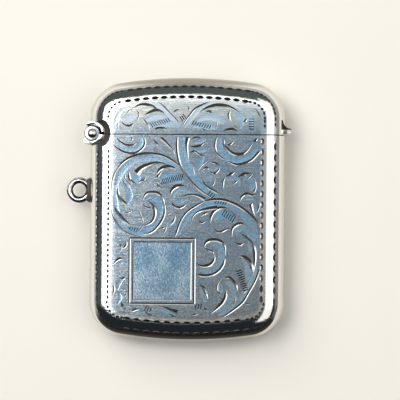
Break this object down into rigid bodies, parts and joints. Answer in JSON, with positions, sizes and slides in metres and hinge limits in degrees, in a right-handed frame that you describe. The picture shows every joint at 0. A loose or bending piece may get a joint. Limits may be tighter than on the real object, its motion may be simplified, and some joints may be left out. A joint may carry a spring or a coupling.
{
  "type": "vesta case",
  "caption": "Flat cushion-edged silver match case with a side-hinged snap lid, thumbpiece, suspension loop and a ridged striker in the base, engraved with scrolling leaves.",
  "frame": {"origin": "middle of the flat back face, which the case lies on", "axes": "+X towards the thumbpiece side, +Y from the base to the lid, +Z out of the engraved front"},
  "size_m": [0.0401, 0.0468, 0.008],
  "materials": {
    "silver": "worn polished silver, engraved, dark in the cuts",
    "plain_silver": "plain silver, dull",
    "gilt_silver": "thin gilding on silver",
    "steel": "plain steel",
    "spring_steel": "blued spring steel"
  },
  "bodies": {
    "body": {"body_front_shell": "silver", "body_back_shell": "silver", "mouth_collar": "gilt_silver", "striker_plate": "steel", "body_hinge_bearing": "silver", "body_knuckle_front": "silver", "body_knuckle_back": "silver", "hinge_pin": "steel", "lid_spring": "spring_steel", "spring_block": "plain_silver", "spring_rivet": "steel", "suspension_loop": "silver", "loop_foot": "silver"},
    "lid": {"lid_front_shell": "silver", "lid_back_shell": "silver", "lid_hinge_bearing": "silver", "lid_knuckle": "silver", "thumbpiece": "silver"}
  },
  "joints": [
    {"name": "lid_hinge", "type": "hinge", "parent": "body", "child": "lid", "pos_m": [-0.0168, 0.0135, 0.004], "axis": [0, 0, 1], "range_deg": [0, 90], "deforming": ["lid_spring"]}
  ]
}
